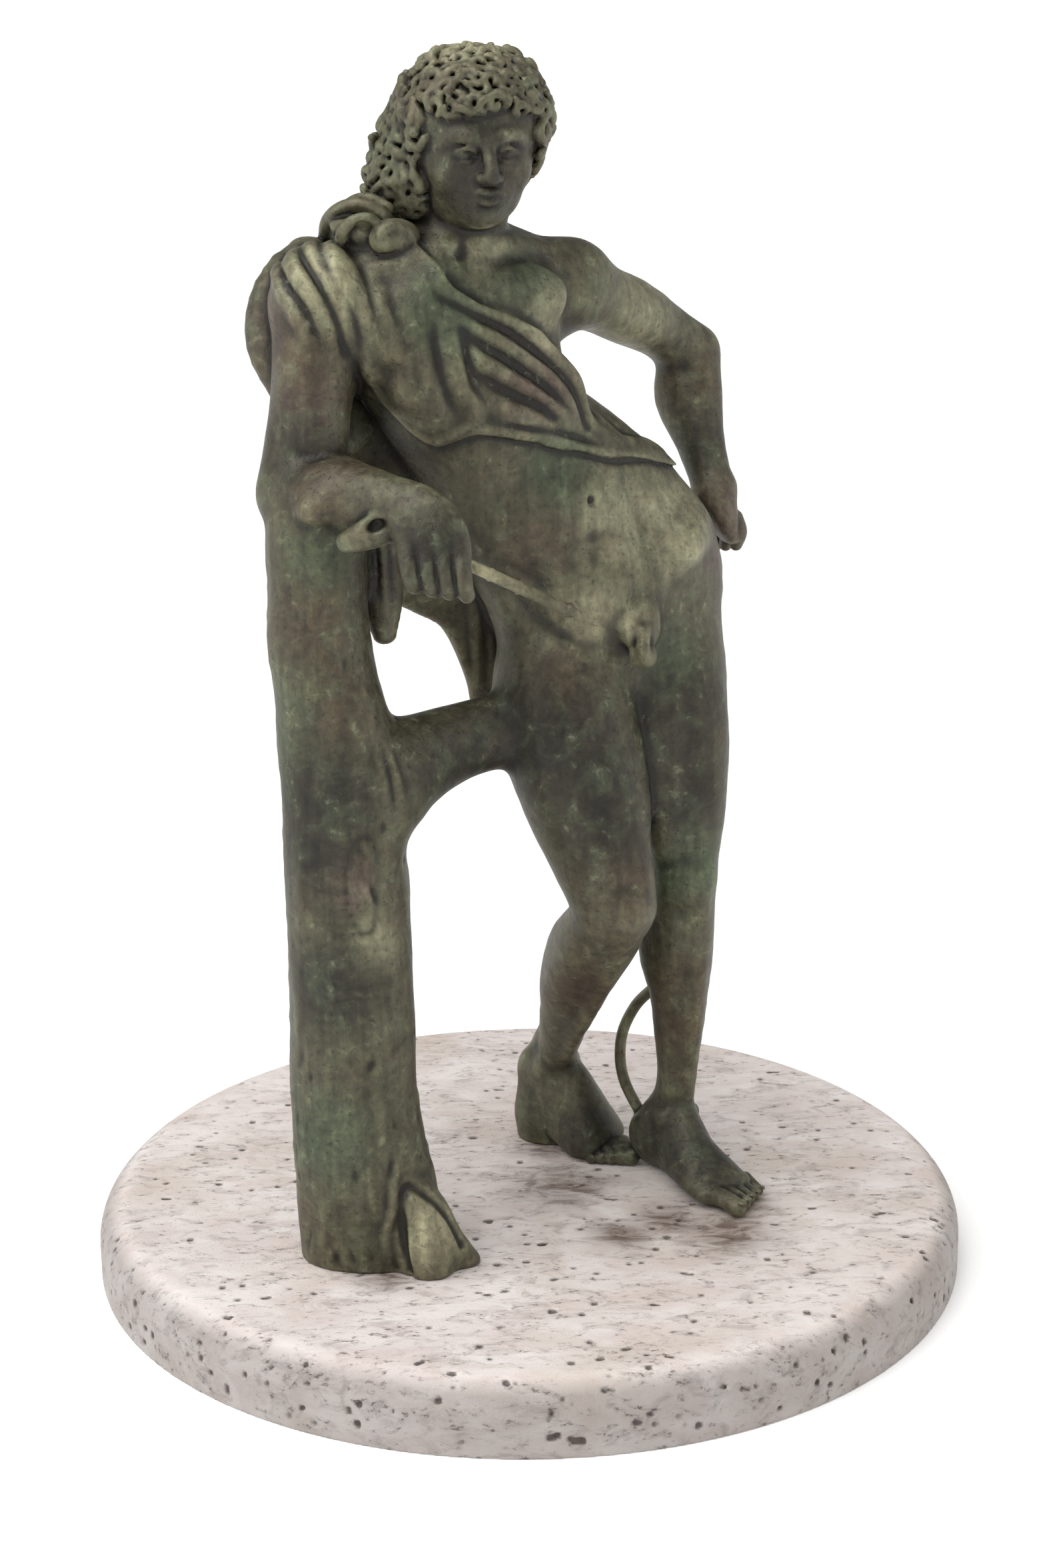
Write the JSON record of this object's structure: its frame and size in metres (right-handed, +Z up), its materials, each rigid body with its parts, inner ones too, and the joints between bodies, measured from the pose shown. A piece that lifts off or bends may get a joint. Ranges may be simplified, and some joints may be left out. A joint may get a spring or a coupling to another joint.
{
  "type": "satyr statue on round plinth",
  "caption": "Bronze nude satyr leaning on a tree trunk, animal skin across the chest, flute in the resting hand; decorative statue on a round travertine plinth.",
  "frame": {"origin": "centre of the plinth's underside", "axes": "+Z up, -Y towards the side that the picture sees, +X towards the figure's left arm"},
  "size_m": [0.5, 0.5, 0.6817],
  "materials": {
    "patinated_bronze": "aged green and brown patina, satin",
    "travertine": "honed, open pores"
  },
  "bodies": {
    "root": {"bronze_statue": "patinated_bronze", "travertine_plinth": "travertine"}
  },
  "joints": []
}
